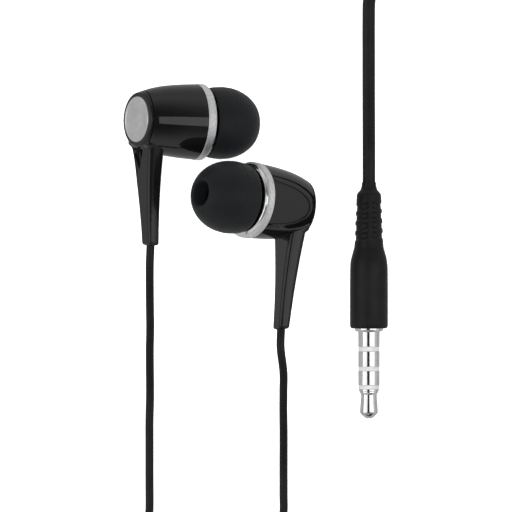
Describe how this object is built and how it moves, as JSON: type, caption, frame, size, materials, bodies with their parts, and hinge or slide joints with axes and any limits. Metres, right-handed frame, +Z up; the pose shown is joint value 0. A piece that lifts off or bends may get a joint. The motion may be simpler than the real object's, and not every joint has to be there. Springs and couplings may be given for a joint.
{
  "type": "wired earphones",
  "caption": "In-ear wired earphones with stemmed earbuds, silicone ear tips, a splitter and a straight four-contact plug; cords laid out with their spare length coiled.",
  "frame": {"origin": "on the surface that the earphones lie on, below the middle of the box round the two earbuds", "axes": "+Z up from the surface, -Y the way both stems and the plug point, +X from the left earbud to the plug"},
  "size_m": [0.0666, 0.1236, 0.0187],
  "materials": {
    "gloss_black": "piano gloss",
    "satin_black": "satin moulded",
    "brushed_silver": "spun, matt",
    "polished_silver": "plated",
    "filter_mesh": "woven mesh",
    "driver_metal": "plain",
    "diaphragm_film": "thin film",
    "silicone": "soft matt silicone",
    "cord_jacket": "smooth flexible jacket",
    "nickel": "plated",
    "insulator": "moulded"
  },
  "bodies": {
    "root": {"left_housing": "gloss_black", "left_stem": "satin_black", "left_end_disc": "brushed_silver", "left_trim_ring": "polished_silver", "left_nozzle": "gloss_black", "left_filter": "filter_mesh", "left_driver_frame": "driver_metal", "left_magnet": "driver_metal", "left_diaphragm": "diaphragm_film", "right_housing": "gloss_black", "right_stem": "satin_black", "right_end_disc": "brushed_silver", "right_trim_ring": "polished_silver", "right_nozzle": "gloss_black", "right_filter": "filter_mesh", "right_driver_frame": "driver_metal", "right_magnet": "driver_metal", "right_diaphragm": "diaphragm_film", "left_cord": "cord_jacket", "left_cord_coil": "cord_jacket", "right_cord": "cord_jacket", "right_cord_coil": "cord_jacket", "splitter": "satin_black", "main_cord": "cord_jacket", "main_cord_coil": "cord_jacket", "plug_grip": "satin_black", "jack_sleeve": "nickel", "jack_rear_ring": "nickel", "jack_front_ring": "nickel", "jack_tip": "nickel", "jack_insulator": "insulator"},
    "left_ear_tip": {"left_ear_tip": "silicone"},
    "right_ear_tip": {"right_ear_tip": "silicone"}
  },
  "joints": [
    {"name": "left_ear_tip_turn", "type": "hinge", "parent": "root", "child": "left_ear_tip", "pos_m": [0.00098, 0.01368, 0.00578], "axis": [0.9199, -0.0321, -0.3907], "continuous": true},
    {"name": "right_ear_tip_turn", "type": "hinge", "parent": "root", "child": "right_ear_tip", "pos_m": [0.00096, 0.0017, 0.01298], "axis": [-0.8011, 0.1126, 0.5878], "continuous": true}
  ]
}
